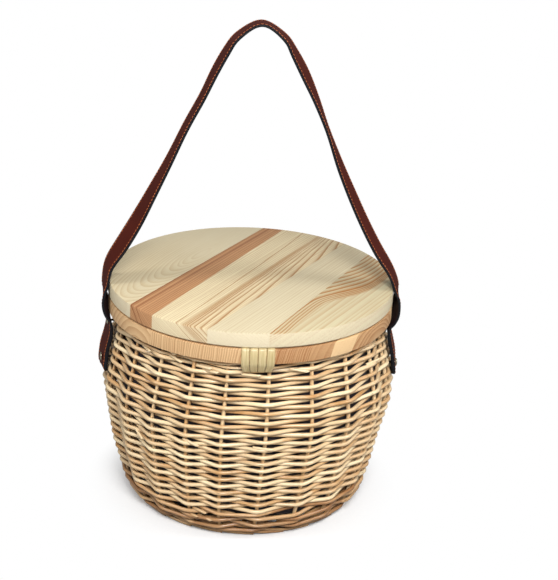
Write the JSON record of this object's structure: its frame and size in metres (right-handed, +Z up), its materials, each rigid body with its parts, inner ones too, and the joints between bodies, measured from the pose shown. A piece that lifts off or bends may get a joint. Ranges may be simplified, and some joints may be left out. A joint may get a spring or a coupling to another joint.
{
  "type": "picnic basket",
  "caption": "Round woven willow picnic basket with a lashed pine rim ring, a lift-off pine lid, a padded lining and a riveted leather carrying strap.",
  "frame": {"origin": "on the ground under the middle of the basket", "axes": "+Z up, -Y to the front where the front lashing is, +X to the right-hand strap end"},
  "size_m": [0.3574, 0.348, 0.5876],
  "materials": {
    "willow": "satin buff willow",
    "brown_willow": "satin brown willow",
    "pine": "oiled pale pine",
    "red_pine": "oiled reddish pine",
    "ring_pine": "oiled mixed pine",
    "cane": "satin flat cane",
    "leather": "semi-gloss red-brown leather with dark edges",
    "lining_cloth": "satin blue-grey insulated cloth",
    "brass": "polished"
  },
  "bodies": {
    "basket": {"foot_rod_a": "brown_willow", "foot_rod_b": "brown_willow", "bottom_wale_a": "brown_willow", "bottom_wale_b": "brown_willow", "bottom_wale_c": "brown_willow", "base_sticks": "brown_willow", "base_weaver_a": "brown_willow", "base_weaver_b": "brown_willow", "lower_weaver_a": "willow", "lower_weaver_b": "willow", "upper_weaver_a": "willow", "upper_weaver_b": "willow", "rim_wale_a": "willow", "rim_wale_b": "willow", "rim_wale_c": "willow", "stake_01": "willow", "stake_02": "willow", "stake_03": "willow", "stake_04": "willow", "stake_05": "willow", "stake_06": "willow", "stake_07": "willow", "stake_08": "willow", "stake_09": "willow", "stake_10": "willow", "stake_11": "willow", "stake_12": "willow", "stake_13": "willow", "stake_14": "willow", "stake_15": "willow", "stake_16": "willow", "stake_17": "willow", "stake_18": "willow", "stake_19": "willow", "stake_20": "willow", "stake_21": "willow", "stake_22": "willow", "rim_ring": "ring_pine", "cane_lashing_left": "cane", "cane_lashing_front": "cane", "cane_lashing_right": "cane", "lining_wall": "lining_cloth", "lining_floor": "lining_cloth", "strap_end_left": "leather", "strap_end_right": "leather", "strap_backing_left": "leather", "strap_backing_right": "leather", "upper_rivet_left": "brass", "upper_rivet_right": "brass", "lower_rivet_left": "brass", "lower_rivet_right": "brass"},
    "lid": {"lid_stave_1": "pine", "lid_stave_2": "red_pine", "lid_stave_3": "pine", "lid_stave_4": "pine", "lid_stave_5": "pine", "lid_pad": "lining_cloth"},
    "strap": {"strap_arch": "leather"}
  },
  "joints": [
    {"name": "lid_lift", "type": "slide", "parent": "basket", "child": "lid", "axis": [0, 0.9135, 0.4067], "range_m": [0, 0.24]},
    {"name": "strap_swing", "type": "hinge", "parent": "basket", "child": "strap", "pos_m": [0, -0.02235, 0.2246], "axis": [1, 0, 0], "range_deg": [-5, 90]}
  ]
}
